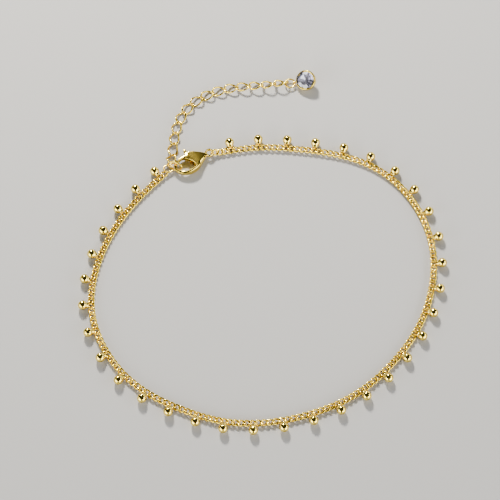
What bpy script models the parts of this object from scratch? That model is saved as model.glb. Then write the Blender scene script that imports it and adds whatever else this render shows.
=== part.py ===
"""Charm anklet: a fine curb chain with ball charms, a lobster clasp, an extender chain and a stone drop.

It lies on a flat surface. X runs to the right, Y away from the viewer, Z up, and the surface is Z = 0.
"""

import math

import bmesh
import bpy
import numpy as np
from mathutils import Matrix, Vector

MM = 0.001

# Main chain and its charms
CHAIN_DIAMETER = 1.4 * MM        # the tube that stands for the fine curb chain
CHARM_COUNT = 35
FIRST_CHARM_AT = 3.7 * MM        # along the chain, from its start at the clasp's eye
LAST_CHARM_BEFORE = 2.1 * MM     # the chain's end, at its ring
BALL_DIAMETER = 2.1 * MM
NECK_DIAMETER = 1.35 * MM
NECK_LENGTH = 0.2 * MM           # bare neck between the ball and the chain
SOLDER_GAP = 0.08 * MM           # kept between a charm's neck and the chain
BALL_SIDES = 12

# Extender chain: open curb links
EXTENDER_LINKS = 14
EXTENDER_LINK_WIDTH = 2.5 * MM
EXTENDER_WIRE = 0.4 * MM
LINK_BITE = 0.12 * MM            # how far fused neighbours sink into each other
LINK_TWIST = math.radians(-45)   # a curb link's ends turn this much, one each way
FIRST_LINK_ROLL = math.radians(36)  # the link at the drop, up on edge
ROLLED_LINKS = 4.5                # the roll fades out over so many links
LINK_POINTS = 14
WIRE_SIDES = 6

# Jump rings
RING_WIRE = 0.34 * MM
CHAIN_RING_DIAMETER = 2.44 * MM   # outside
DROP_RING_DIAMETER = 2.6 * MM     # outside
DROP_RING_FALL = 0.5 * MM        # what the ring's far side still keeps from the surface

# Clasp, in its own frame: X from the eye's centre to the claw's nose, the lever on the -Y side
CLASP_REACH = 9.05 * MM           # eye centre to nose
CLASP_WIDTH = 4.75 * MM
CLASP_THICKNESS = 2.0 * MM
CLASP_EDGE = 0.35 * MM            # rounding of the outer edges
EYE_DIAMETER = 2.12 * MM
EYE_WIRE = 0.5 * MM
EYE_HEIGHT = 0.8 * MM
LEVER_THICKNESS = 1.1 * MM
LEVER_GAP = 0.1 * MM              # round the lever, inside the clasp
PIVOT_DIAMETER = 0.6 * MM
LEVER_ROOT_DIAMETER = 1.7 * MM
NUB_REACH = 1.35 * MM             # thumb nub, out from the lever's arm
NUB_WIDTH = 0.67 * MM

# Drop: a round brilliant in a bezel
STONE_DIAMETER = 4.1 * MM
STONE_CROWN = 0.45 * MM
STONE_GIRDLE = 0.1 * MM
STONE_PAVILION = 0.65 * MM
STONE_TABLE_SHARE = 0.58
BEZEL_WALL = 0.24 * MM
BEZEL_HEIGHT = 1.3 * MM
BEZEL_FLOOR = 0.25 * MM
BEZEL_LIP = 0.12 * MM             # how far the rim is rubbed over the stone
STONE_GAP = 0.03 * MM
BEZEL_SIDES = 32
DROP_LEFT_TILT = math.radians(18)
DROP_FRONT_TILT = math.radians(22)
EAR_DIAMETER = 1.2 * MM           # outside
EAR_WIRE = 0.28 * MM

# Where the chain lies: its centre line's own points, X and Y in metres, chosen by hand.
# It starts at the clasp's eye and runs clockwise to the ring at the other end, where CHAIN_END is added.
CHAIN_ROUTE = [
    (-0.0112, 0.0246), (-0.0010, 0.0262), (0.0085, 0.0257), (0.0176, 0.0241), (0.0267, 0.0200),
    (0.0345, 0.0110), (0.0381, -0.0011), (0.0373, -0.0113), (0.0338, -0.0209), (0.0280, -0.0292),
    (0.0204, -0.0362), (0.0115, -0.0407), (0.0017, -0.0431), (-0.0084, -0.0430), (-0.0185, -0.0398),
    (-0.0274, -0.0347), (-0.0354, -0.0247), (-0.0381, -0.0163), (-0.0377, -0.0064), (-0.0343, 0.0035),
    (-0.0284, 0.0127),
]
ROUTE_SAMPLES = 78
# The chain lies stretched here and loose there: each charm's number, and how far in millimetres it lies ahead
# of an even step.
CHARM_DRIFT = [
    (1, 0.22), (5, 0.85), (6.5, 0.75), (9, 0.40), (11.5, 0.75), (14.5, 0.10), (19, 0.08), (21, 0.44),
    (22, 0.42), (23.2, 0.05), (24.5, 0.05), (29, 0.90), (35, 0.65),
]
# The extender's centre line, from the link at the drop towards the claw, where EXTENDER_END is added.
EXTENDER_ROUTE = [
    (0.00428, 0.04335), (-0.0018, 0.0427), (-0.0073, 0.0421), (-0.0130, 0.0402), (-0.0174, 0.0367),
    (-0.0199, 0.0315), (-0.0207, 0.0259),
]
LAST_LINK_RISE = math.radians(27)  # its front end climbs over the chain's ring
# Clasp: its eye's centre on the surface, and the heading from the eye to the nose.
CLASP_PLACE = (-0.0123, 0.0245)
CLASP_HEADING = math.radians(209.7)
# What is hooked in the claw keeps its place from the claw's nose, in X, Y and its height.
# The hooked link stands nearly upright round the claw, and the chain's ring passes through it.
HOOKED_LINK_FROM_NOSE = (-0.01 * MM, 0.90 * MM, 1.15 * MM)
HOOKED_LINK_HEADING = math.radians(-18)
HOOKED_LINK_LEAN = math.radians(26)
CHAIN_RING_FROM_NOSE = (-1.5 * MM, 0.49 * MM, 0.66 * MM)
CHAIN_RING_TILT = math.radians(-6)
CHAIN_END_FROM_NOSE = (-2.24 * MM, -0.72 * MM)
EXTENDER_END_FROM_NOSE = (-0.92 * MM, 2.76 * MM)
DROP_PLACE = (0.01022, 0.04385)
EAR_HEADING = math.radians(188)

# The clasp's outline, as shares of its reach and of half its width, from the tail round the claw.
CLASP_OUTLINE = [
    (0.085, 0.13), (0.24, 0.55), (0.40, 0.92), (0.54, 1.07), (0.70, 1.09), (0.85, 0.91), (0.96, 0.50),
    (1.0, 0.0), (0.965, -0.40), (0.85, -0.74), (0.70, -0.92), (0.54, -0.96), (0.40, -0.82),
    (0.24, -0.49), (0.085, -0.13),
]
# Its hole in the same shares: along the lever first, then back by the spine. It points at the tail.
CLASP_HOLE = [
    (0.915, -0.15), (0.82, -0.50), (0.71, -0.63), (0.61, -0.48), (0.54, -0.04), (0.487, 0.42), (0.475, 0.70),
    (0.53, 0.83), (0.66, 0.87), (0.79, 0.77), (0.885, 0.48), (0.94, 0.14),
]
HOLE_LEVER_ROWS = 5               # how many of its rows lie along the lever
HOLE_MIDDLE_SHARE = (0.70, 0.10)
PIVOT_SHARE = (0.431, -0.46)
CLAW_TIP_SHARE = 0.83             # along the reach, where the lever's tip meets the claw's
# The clasp's thickness along its reach, as shares of the full one.
CLASP_TAPER = [
    (0.0, 0.42), (0.10, 0.42), (0.20, 0.74), (0.36, 1.0), (0.56, 1.0), (0.70, 0.80), (0.83, 0.56), (0.93, 0.45),
    (1.0, 0.44),
]


def gold(name, colour=(0.80, 0.60, 0.22, 1.0), roughness=0.16):
    """Polished yellow gold plate on brass."""
    material = bpy.data.materials.new(name)
    material.use_nodes = True
    shader = material.node_tree.nodes["Principled BSDF"]
    shader.inputs["Base Color"].default_value = colour
    shader.inputs["Metallic"].default_value = 1.0
    shader.inputs["Roughness"].default_value = roughness
    return material


def crystal(name):
    """Clear cut glass."""
    material = bpy.data.materials.new(name)
    material.use_nodes = True
    shader = material.node_tree.nodes["Principled BSDF"]
    shader.inputs["Base Color"].default_value = (0.93, 0.95, 0.97, 1.0)
    shader.inputs["Roughness"].default_value = 0.02
    shader.inputs["Transmission Weight"].default_value = 0.8
    return material


def add_object(name, mesh, material, matrix=None):
    obj = bpy.data.objects.new(name, mesh)
    mesh.materials.clear()
    mesh.materials.append(material)
    if matrix is not None:
        obj.matrix_world = matrix
    bpy.context.scene.collection.objects.link(obj)
    return obj


def mesh_of(name, bm):
    """Closes off a bmesh: normals out, smooth but for its sharp edges."""
    bmesh.ops.recalc_face_normals(bm, faces=bm.faces)
    mesh = bpy.data.meshes.new(name)
    bm.to_mesh(mesh)
    bm.free()
    mesh.shade_smooth()
    mesh.set_sharp_from_angle(angle=math.radians(38))
    return mesh


def grid_mesh(name, rings):
    """A closed tube from rings of points, the last ring joined to the first."""
    bm = bmesh.new()
    loops = [[bm.verts.new(point) for point in ring] for ring in rings]
    for k, loop in enumerate(loops):
        following = loops[(k + 1) % len(loops)]
        for j in range(len(loop)):
            n = (j + 1) % len(loop)
            bm.faces.new((loop[j], loop[n], following[n], following[j]))
    return mesh_of(name, bm)


def turned_mesh(name, profile, sides):
    """A solid turned about X from (x, radius) points; the first and last lie on the axis."""
    bm = bmesh.new()
    rings = []
    for x, radius in profile[1:-1]:
        angles = [2 * math.pi * k / sides for k in range(sides)]
        rings.append([bm.verts.new((x, radius * math.cos(a), radius * math.sin(a))) for a in angles])
    first = bm.verts.new((profile[0][0], 0, 0))
    last = bm.verts.new((profile[-1][0], 0, 0))
    for j in range(sides):
        n = (j + 1) % sides
        bm.faces.new((first, rings[0][n], rings[0][j]))
        bm.faces.new((last, rings[-1][j], rings[-1][n]))
        for one, two in zip(rings, rings[1:]):
            bm.faces.new((one[j], one[n], two[n], two[j]))
    return mesh_of(name, bm)


def wire_loop(name, centre_line, wire, sides=WIRE_SIDES):
    """A round wire swept along a closed line of points about the origin."""
    line = np.asarray(centre_line)
    along = np.roll(line, -1, axis=0) - np.roll(line, 1, axis=0)
    along /= np.linalg.norm(along, axis=1)[:, None]
    out = line - (line * along).sum(axis=1)[:, None] * along
    out /= np.linalg.norm(out, axis=1)[:, None]
    side = np.cross(along, out)
    angles = [2 * math.pi * (k + 0.5) / sides for k in range(sides)]
    rings = [[p + wire / 2 * (math.cos(a) * o + math.sin(a) * s) for a in angles]
             for p, o, s in zip(line, out, side)]
    return grid_mesh(name, rings)


def oval_line(half_length, half_width, twist=0.0, count=LINK_POINTS):
    """An oval in the XY plane, its two ends turned about X, one each way."""
    angles = np.arange(count) * 2 * math.pi / count
    x = half_length * np.cos(angles)
    y = half_width * np.sin(angles)
    turn = twist * x / half_length
    return np.column_stack((x, y * np.cos(turn), y * np.sin(turn)))


def ring_mesh(name, outside_diameter, wire, count=LINK_POINTS):
    radius = (outside_diameter - wire) / 2
    return wire_loop(name, oval_line(radius, radius, count=count), wire)


def smooth_line(points, count):
    """So many points at equal steps along a natural cubic spline through the given ones."""
    points = np.asarray(points)
    knots = np.concatenate(([0], np.cumsum(np.linalg.norm(np.diff(points, axis=0), axis=1))))
    n = len(knots)
    h = np.diff(knots)
    matrix = np.eye(n)
    right = np.zeros((n, 2))
    for k in range(1, n - 1):
        matrix[k, k - 1:k + 2] = (h[k - 1], 2 * (h[k - 1] + h[k]), h[k])
        right[k] = 6 * ((points[k + 1] - points[k]) / h[k] - (points[k] - points[k - 1]) / h[k - 1])
    bend = np.linalg.solve(matrix, right)
    t = np.linspace(0, knots[-1], 4000)
    k = np.clip(np.searchsorted(knots, t, side="right") - 1, 0, n - 2)
    a = (knots[k + 1] - t)[:, None]
    b = (t - knots[k])[:, None]
    w = h[k][:, None]
    fine = (bend[k] * a ** 3 + bend[k + 1] * b ** 3) / (6 * w)
    fine += (points[k] / w - bend[k] * w / 6) * a + (points[k + 1] / w - bend[k + 1] * w / 6) * b
    return along_line(fine, np.linspace(0, line_length(fine)[-1], count))


def line_length(line):
    """The length so far at every point of a line."""
    return np.concatenate(([0], np.cumsum(np.linalg.norm(np.diff(line, axis=0), axis=1))))


def along_line(line, at):
    """Points at distances along a dense line."""
    length = line_length(line)
    return np.column_stack([np.interp(at, length, line[:, j]) for j in (0, 1)])


def from_nose(offset):
    """A point given by its place from the claw's nose."""
    x = CLASP_PLACE[0] + CLASP_REACH * math.cos(CLASP_HEADING) + offset[0]
    y = CLASP_PLACE[1] + CLASP_REACH * math.sin(CLASP_HEADING) + offset[1]
    return (x, y, *offset[2:])


def charm_places():
    """Where each charm sits on the main chain, and the chain's heading there."""
    line = smooth_line(CHAIN_ROUTE + [from_nose(CHAIN_END_FROM_NOSE)], 4000)
    at = np.linspace(FIRST_CHARM_AT, line_length(line)[-1] - LAST_CHARM_BEFORE, CHARM_COUNT)
    numbers, drift = zip(*CHARM_DRIFT)
    at += np.interp(np.arange(1, CHARM_COUNT + 1), numbers, drift) * MM
    centres = along_line(line, at)
    nearest = np.array([np.linalg.norm(line - c, axis=1).argmin() for c in centres]).clip(5, len(line) - 6)
    slope = line[nearest + 5] - line[nearest - 5]
    return centres, np.arctan2(slope[:, 1], slope[:, 0])


def boolean(target, other, operation):
    """Applies one Boolean and drops the other object."""
    modifier = target.modifiers.new("boolean", "BOOLEAN")
    modifier.operation = operation
    modifier.object = other
    modifier.solver = "EXACT"
    graph = bpy.context.evaluated_depsgraph_get()
    graph.update()
    made = bpy.data.meshes.new_from_object(target.evaluated_get(graph))
    target.modifiers.clear()
    old = target.data
    target.data = made
    made.name = target.name
    bpy.data.meshes.remove(old)
    bpy.data.objects.remove(other)
    made.shade_smooth()
    made.set_sharp_from_angle(angle=math.radians(38))


def prism(name, outline, low, high, rounding=0.0, share=lambda x: 1.0):
    """An outline in XY raised from low to high, its top and bottom edges rounded by rounding x share(x)."""
    points = np.asarray(outline)
    along = np.roll(points, -1, axis=0) - np.roll(points, 1, axis=0)
    along /= np.linalg.norm(along, axis=1)[:, None]
    turns = np.roll(points, -1, axis=0) - points
    area = (points[:, 0] * turns[:, 1] - points[:, 1] * turns[:, 0]).sum()
    inward = np.column_stack((-along[:, 1], along[:, 0])) * (1 if area > 0 else -1)
    inset = inward * rounding * np.array([share(x) for x in points[:, 0]])[:, None]
    steps = [(0.0, 1.0), (0.3, 0.3), (1.0, 0.0)] if rounding else [(0.0, 0.0)]
    levels = [(low + rounding * a, b) for a, b in steps]
    levels += [(high - rounding * a, b) for a, b in reversed(steps)]
    bm = bmesh.new()
    rings = [[bm.verts.new((x, y, z)) for x, y in points + inset * b] for z, b in levels]
    bm.faces.new(rings[0])
    bm.faces.new(rings[-1])
    for one, two in zip(rings, rings[1:]):
        for j in range(len(points)):
            n = (j + 1) % len(points)
            bm.faces.new((one[j], one[n], two[n], two[j]))
    return mesh_of(name, bm)


def circle(centre, radius, sides):
    angles = [2 * math.pi * (k + 0.5) / sides for k in range(sides)]
    return [(centre[0] + radius * math.cos(a), centre[1] + radius * math.sin(a)) for a in angles]


def curve_through(points, steps=2):
    """A Catmull-Rom curve through an open list of points."""
    p = [np.asarray(q, float) for q in points]
    ends = [2 * p[0] - p[1]] + p + [2 * p[-1] - p[-2]]
    line = []
    for a, b, c, d in zip(ends, ends[1:], ends[2:], ends[3:]):
        for k in range(steps):
            t = k / steps
            line.append(0.5 * (2 * b + (c - a) * t + (2 * a - 5 * b + 4 * c - d) * t ** 2
                               + (3 * b - a - 3 * c + d) * t ** 3))
    return [tuple(q) for q in line + [p[-1]]]


def make_main_chain(material):
    line = smooth_line(CHAIN_ROUTE + [from_nose(CHAIN_END_FROM_NOSE)], ROUTE_SAMPLES)
    curve = bpy.data.curves.new("main_chain", "CURVE")
    curve.dimensions = "3D"
    curve.bevel_depth = CHAIN_DIAMETER / 2
    curve.bevel_resolution = 2
    curve.use_fill_caps = True
    spline = curve.splines.new("POLY")
    spline.points.add(len(line) - 1)
    for point, (x, y) in zip(spline.points, line):
        point.co = (x, y, CHAIN_DIAMETER / 2, 1)
    curve.materials.append(material)
    obj = bpy.data.objects.new("main_chain", curve)
    bpy.context.scene.collection.objects.link(obj)


def make_ball_charms(material):
    """Each charm is a ball with a short neck that points down at the chain's centre line."""
    ball = BALL_DIAMETER / 2
    neck = NECK_DIAMETER / 2
    chain = CHAIN_DIAMETER / 2
    reach = ball + NECK_LENGTH + chain
    tilt = math.asin((ball - chain) / reach)
    neck_root = math.asin(neck / ball)
    arc_steps = BALL_SIDES // 2 - 1
    arc = [math.pi - (math.pi - neck_root) * k / arc_steps for k in range(arc_steps + 1)]
    profile = [(ball * math.cos(a), ball * math.sin(a)) for a in arc]
    neck_end = reach - chain - SOLDER_GAP
    profile += [(neck_end, neck * 0.9), (neck_end, 0)]
    mesh = turned_mesh("ball_charm", profile, BALL_SIDES)
    centres, headings = charm_places()
    for k, ((x, y), heading) in enumerate(zip(centres, headings)):
        outward = heading + math.pi / 2
        place = (x + reach * math.cos(tilt) * math.cos(outward), y + reach * math.cos(tilt) * math.sin(outward), ball)
        turn = Matrix.Rotation(outward + math.pi, 4, "Z") @ Matrix.Rotation(tilt, 4, "Y")
        add_object(f"ball_charm_{k + 1:02d}", mesh, material, Matrix.Translation(place) @ turn)


def make_extender(material):
    """Open curb links that lie flat; the first ones, at the drop, roll up on edge. Neighbours are fused."""
    centres = smooth_line(EXTENDER_ROUTE + [from_nose(EXTENDER_END_FROM_NOSE)], EXTENDER_LINKS)
    slope = np.gradient(centres, axis=0)
    pitch = float(np.linalg.norm(np.diff(centres, axis=0), axis=1).mean())
    half_length = (pitch + EXTENDER_WIRE - LINK_BITE) / 2
    half_width = (EXTENDER_LINK_WIDTH - EXTENDER_WIRE) / 2
    links = []
    for k, ((x, y), (dx, dy)) in enumerate(zip(centres, slope)):
        mesh = wire_loop(f"link_{k}", oval_line(half_length, half_width, LINK_TWIST), EXTENDER_WIRE)
        roll = FIRST_LINK_ROLL * max(0.0, 1 - k / ROLLED_LINKS)
        rise = LAST_LINK_RISE if k == EXTENDER_LINKS - 1 else 0.0
        turn = Matrix.Rotation(math.atan2(dy, dx), 4, "Z") @ Matrix.Rotation(-rise, 4, "Y")
        turn = turn @ Matrix.Rotation(roll, 4, "X")
        lowest = min((turn @ vertex.co).z for vertex in mesh.vertices)
        links.append(add_object(f"link_{k}", mesh, material, Matrix.Translation((x, y, -lowest)) @ turn))
    flat = wire_loop("hooked_link", oval_line(half_length, half_width), EXTENDER_WIRE)
    place = from_nose(HOOKED_LINK_FROM_NOSE)
    upright = Matrix.Rotation(HOOKED_LINK_HEADING, 4, "Z") @ Matrix.Rotation(math.pi / 2 - HOOKED_LINK_LEAN, 4, "X")
    links.append(add_object("hooked_link", flat, material, Matrix.Translation(place) @ upright))
    chain = links[0]
    chain.name = "extender_chain"
    for link in links[1:]:
        boolean(chain, link, "UNION")


def make_rings(material):
    mesh = ring_mesh("chain_jump_ring", CHAIN_RING_DIAMETER, RING_WIRE)
    turn = Matrix.Rotation(CHAIN_RING_TILT, 4, "X")
    place = from_nose(CHAIN_RING_FROM_NOSE)
    add_object("chain_jump_ring", mesh, material, Matrix.Translation(place) @ turn)


def clasp_frame():
    place = (CLASP_PLACE[0], CLASP_PLACE[1], 0)
    return Matrix.Translation(place) @ Matrix.Rotation(CLASP_HEADING, 4, "Z")


def clasp_point(share):
    return (share[0] * CLASP_REACH, share[1] * CLASP_WIDTH / 2)


def thickness_share(x):
    """How thick the clasp is at x, thinner towards its tail and its nose."""
    places, shares = zip(*CLASP_TAPER)
    return float(np.interp(x / CLASP_REACH, places, shares))


def taper(mesh):
    """Slices the body where its taper changes, then draws each point towards the middle plane."""
    middle = CLASP_THICKNESS / 2
    bm = bmesh.new()
    bm.from_mesh(mesh)
    for place, _ in CLASP_TAPER[1:-1]:
        geometry = list(bm.verts) + list(bm.edges) + list(bm.faces)
        bmesh.ops.bisect_plane(bm, geom=geometry, plane_co=(place * CLASP_REACH, 0, 0), plane_no=(1, 0, 0))
    for vertex in bm.verts:
        vertex.co.z = middle + (vertex.co.z - middle) * thickness_share(vertex.co.x)
    bmesh.ops.triangulate(bm, faces=bm.faces)
    bm.to_mesh(mesh)
    bm.free()


def make_clasp(material):
    middle = CLASP_THICKNESS / 2
    beyond = CLASP_WIDTH
    frame = clasp_frame()
    pivot = clasp_point(PIVOT_SHARE)
    hole_middle = clasp_point(HOLE_MIDDLE_SHARE)
    outline = curve_through([clasp_point(row) for row in CLASP_OUTLINE])
    body_mesh = prism("clasp_body", outline, 0, CLASP_THICKNESS, CLASP_EDGE, thickness_share)
    taper(body_mesh)
    body = add_object("clasp_body", body_mesh, material)

    hole = curve_through([clasp_point(row) for row in CLASP_HOLE + CLASP_HOLE[:1]])[:-1]
    boolean(body, add_object("hole_cutter", prism("hole", hole, -middle, 3 * middle), material), "DIFFERENCE")

    # The claw is open where the lever closes it, from the cheeks' front edge to the claw's tip.
    tip_x = CLASP_REACH * CLAW_TIP_SHARE
    cheek_x = pivot[0] + 1.25 * PIVOT_DIAMETER
    root_radius = LEVER_ROOT_DIAMETER / 2
    mouth = [(cheek_x, -beyond), (tip_x, -beyond), (tip_x, hole_middle[1] - 0.4 * CLASP_WIDTH / 2),
             hole_middle, (cheek_x + 0.5 * root_radius, pivot[1] + root_radius),
             (cheek_x, pivot[1] + 0.3 * root_radius)]
    boolean(body, add_object("mouth_cutter", prism("mouth", mouth, -middle, 3 * middle), material), "DIFFERENCE")

    # Between two cheeks a slot holds the lever's root.
    slot_half = LEVER_THICKNESS / 2 + LEVER_GAP
    reach = root_radius + LEVER_GAP
    front_x = cheek_x + 1.4 * root_radius
    slot = [(pivot[0] - reach, -beyond), (front_x, -beyond), (front_x, pivot[1] + 2.3 * root_radius),
            (cheek_x - 0.1 * root_radius, pivot[1] + 2.2 * root_radius),
            (pivot[0] - 0.6 * root_radius, pivot[1] + reach), (pivot[0] - reach, pivot[1] + 0.35 * root_radius)]
    slot_mesh = prism("slot", slot, middle - slot_half, middle + slot_half)
    boolean(body, add_object("slot_cutter", slot_mesh, material), "DIFFERENCE")

    pin = prism("pin", circle(pivot, PIVOT_DIAMETER / 2, 12), 0.2 * middle, 1.8 * middle)
    boolean(body, add_object("pin", pin, material), "UNION")
    eye = ring_mesh("eye", EYE_DIAMETER, EYE_WIRE, count=16)
    eye.transform(Matrix.Diagonal((1, 1, EYE_HEIGHT / EYE_WIRE, 1)))
    boolean(body, add_object("eye", eye, material, Matrix.Translation((0, 0, middle))), "UNION")
    body.matrix_world = frame

    make_lever(material, frame, pivot, tip_x, middle)


def make_lever(material, frame, pivot, tip_x, middle):
    """The lever's own origin is on its pivot's axis: a root disc, an arm to the claw's tip and a thumb nub."""
    low = middle - LEVER_THICKNESS / 2
    high = middle + LEVER_THICKNESS / 2
    rounding = 0.13 * LEVER_THICKNESS
    root_radius = LEVER_ROOT_DIAMETER / 2
    end_x = tip_x - 1.5 * LEVER_GAP
    start_x = pivot[0] + 0.4 * root_radius

    def edge_at(rows, x):
        xs, ys = zip(*sorted(curve_through([clasp_point(row) for row in rows])))
        return float(np.interp(x, xs, ys))

    def outer_edge(x):
        return edge_at([row for row in CLASP_OUTLINE if row[1] < 0], x) + LEVER_GAP / 2

    xs = np.linspace(start_x, end_x - LEVER_GAP, 7)
    hole_rows = CLASP_HOLE[:HOLE_LEVER_ROWS]
    inner = [(x, min(edge_at(hole_rows, x), pivot[1] + 0.65 * root_radius)) for x in xs]
    outer = [(x, outer_edge(x)) for x in xs]
    tip = [(end_x, inner[-1][1] - rounding), (end_x, outer[-1][1] + 2 * rounding)]
    lever = add_object("clasp_lever", prism("clasp_lever", inner + tip + outer[::-1], low, high, rounding), material)
    sunk = LEVER_GAP / 6
    root = prism("root", circle(pivot, root_radius, 16), low + sunk, high - sunk)
    boolean(lever, add_object("root", root, material), "UNION")
    base_x = start_x + 0.3 * NUB_WIDTH
    base_y = outer_edge(base_x)
    top_y = base_y + 0.6 * NUB_WIDTH
    nub = [(base_x, top_y), (base_x, base_y - 0.75 * NUB_REACH), (base_x + 0.2 * NUB_WIDTH, base_y - NUB_REACH),
           (base_x + 0.7 * NUB_WIDTH, base_y - NUB_REACH), (base_x + 0.9 * NUB_WIDTH, base_y - 0.7 * NUB_REACH),
           (base_x + NUB_WIDTH, top_y)]
    nub_mesh = prism("nub", nub, low + LEVER_GAP / 2, high - LEVER_GAP / 2, rounding)
    boolean(lever, add_object("nub", nub_mesh, material), "UNION")
    bore = prism("bore", circle(pivot, PIVOT_DIAMETER / 2 + LEVER_GAP / 2, 12), -middle, 3 * middle)
    boolean(lever, add_object("bore", bore, material), "DIFFERENCE")
    lever.data.transform(Matrix.Translation((-pivot[0], -pivot[1], -middle)))
    lever.matrix_world = frame @ Matrix.Translation((pivot[0], pivot[1], middle))


def drop_frame():
    """The drop leans to the left and the front, held by its ring, and rests on the low edge of its back."""
    tilt = Matrix.Rotation(DROP_FRONT_TILT, 4, "X") @ Matrix.Rotation(-DROP_LEFT_TILT, 4, "Y")
    outside = STONE_DIAMETER / 2 + STONE_GAP + BEZEL_WALL
    face = tilt @ Vector((0, 0, 1))
    lift = outside * math.sqrt(1 - face.z ** 2)
    return Matrix.Translation((DROP_PLACE[0], DROP_PLACE[1], lift)) @ tilt, outside


def make_drop(material, stone_material):
    frame, outside = drop_frame()
    stone_radius = STONE_DIAMETER / 2
    seat = stone_radius + STONE_GAP
    girdle_low = BEZEL_HEIGHT - STONE_GIRDLE - BEZEL_LIP - STONE_GAP
    turn_up = Matrix.Rotation(-math.pi / 2, 4, "Y")

    # The bezel is a cup: a wall with its rim rubbed over the girdle, and a flat back with a round opening.
    rim = seat - BEZEL_LIP
    profile = [
        (0, outside), (BEZEL_HEIGHT - 0.1 * MM, outside), (BEZEL_HEIGHT, outside - 0.1 * MM),
        (BEZEL_HEIGHT, rim), (girdle_low + STONE_GIRDLE + STONE_GAP, seat), (BEZEL_FLOOR, seat),
        (BEZEL_FLOOR, seat * 0.5), (0, seat * 0.5),
    ]
    angles = [2 * math.pi * k / BEZEL_SIDES for k in range(BEZEL_SIDES)]
    rings = [[(r * math.cos(a), r * math.sin(a), z) for z, r in profile] for a in angles]
    bezel = add_object("drop_bezel", grid_mesh("drop_bezel", rings), material)
    ear_radius = (EAR_DIAMETER - EAR_WIRE) / 2
    ear_at = outside + ear_radius - 0.02 * MM
    ear_turn = Matrix.Rotation(EAR_HEADING, 4, "Z") @ Matrix.Translation((ear_at, 0, BEZEL_HEIGHT / 2))
    ear = add_object("ear", ring_mesh("ear", EAR_DIAMETER, EAR_WIRE), material,
                     ear_turn @ Matrix.Rotation(math.pi / 2, 4, "X"))
    boolean(bezel, ear, "UNION")
    bezel.matrix_world = frame

    # The stone: a table, eight star and eight kite facets' worth of crown, a girdle and a pavilion.
    table = stone_radius * STONE_TABLE_SHARE
    bm = bmesh.new()

    def ring(count, radius, z, offset):
        steps = [2 * math.pi * (k + offset) / count for k in range(count)]
        for a in steps:
            bm.verts.new((radius * math.cos(a), radius * math.sin(a), z))

    ring(8, table, girdle_low + STONE_GIRDLE + STONE_CROWN, 0.5)
    ring(8, stone_radius * 0.8, girdle_low + STONE_GIRDLE + STONE_CROWN * 0.5, 0.0)
    ring(16, stone_radius, girdle_low + STONE_GIRDLE, 0.0)
    ring(16, stone_radius, girdle_low, 0.0)
    bm.verts.new((0, 0, girdle_low - STONE_PAVILION))
    bmesh.ops.convex_hull(bm, input=list(bm.verts))
    stone = add_object("drop_stone", mesh_of("drop_stone", bm), stone_material, frame)
    stone.data.set_sharp_from_angle(angle=math.radians(1))

    # A ring through the ear lies towards the extender.
    radius = (DROP_RING_DIAMETER - RING_WIRE) / 2
    ear_centre = frame @ Matrix.Rotation(EAR_HEADING, 4, "Z") @ Vector((ear_at, 0, BEZEL_HEIGHT / 2))
    lean = math.asin(max(0.0, ear_centre.z - RING_WIRE / 2 - DROP_RING_FALL) / (2 * radius))
    ring_turn = Matrix.Rotation(EAR_HEADING, 4, "Z") @ Matrix.Rotation(lean, 4, "Y")
    centre = ear_centre + ring_turn @ Vector((radius, 0, 0))
    add_object("drop_jump_ring", ring_mesh("drop_jump_ring", DROP_RING_DIAMETER, RING_WIRE), material,
               Matrix.Translation(centre) @ ring_turn)


def main():
    for obj in list(bpy.data.objects):
        bpy.data.objects.remove(obj)
    plate = gold("gold_plate")
    make_main_chain(gold("chain_gold"))
    make_ball_charms(gold("ball_gold", roughness=0.1))
    make_extender(gold("extender_gold"))
    make_rings(plate)
    make_clasp(plate)
    make_drop(plate, crystal("clear_stone"))


main()
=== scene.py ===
# %% [markdown]
# # A gold-plated charm anklet
#
# A fine curb chain carries small round balls, a lobster clasp closes it, and an open extender chain ends in
# a round clear stone. This lesson dresses the solid model of that anklet: every piece is worked out as arrays
# of points, and every finish is named for the real metal or stone that it stands for.

# %% Load the solid model
import math

import bmesh
import bpy
import numpy as np
from mathutils import Matrix, Vector


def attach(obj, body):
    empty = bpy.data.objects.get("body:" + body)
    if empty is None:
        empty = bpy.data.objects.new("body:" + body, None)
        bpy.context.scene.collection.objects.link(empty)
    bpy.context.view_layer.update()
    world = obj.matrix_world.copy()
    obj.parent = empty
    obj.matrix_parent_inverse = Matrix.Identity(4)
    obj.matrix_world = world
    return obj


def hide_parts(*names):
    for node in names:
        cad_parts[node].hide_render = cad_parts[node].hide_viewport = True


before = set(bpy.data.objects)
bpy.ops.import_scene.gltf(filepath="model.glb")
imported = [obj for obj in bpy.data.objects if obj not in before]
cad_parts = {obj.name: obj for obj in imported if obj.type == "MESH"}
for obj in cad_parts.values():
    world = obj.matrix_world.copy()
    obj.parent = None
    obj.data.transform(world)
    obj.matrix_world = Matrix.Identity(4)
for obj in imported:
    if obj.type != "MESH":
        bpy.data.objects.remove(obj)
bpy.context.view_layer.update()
MM = 0.001
BODY = "anklet"

# %% [markdown]
# ## Finishes
#
# A colour is easiest to judge as the sRGB hex value that a screen shows, but a renderer adds light up in
# linear values. One function turns the first into the second, and one more adds a node with its settings and
# its links, so that a material reads as a short recipe.


# %% Colour and node helpers
def linear(hex_value):
    """An sRGB hex colour as linear RGBA: each channel c becomes ((c + 0.055) / 1.055) ** 2.4."""
    channels = np.array([int(hex_value[i:i + 2], 16) for i in (1, 3, 5)]) / 255
    low = channels / 12.92
    high = ((channels + 0.055) / 1.055) ** 2.4
    return (*np.where(channels <= 0.04045, low, high), 1.0)


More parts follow.
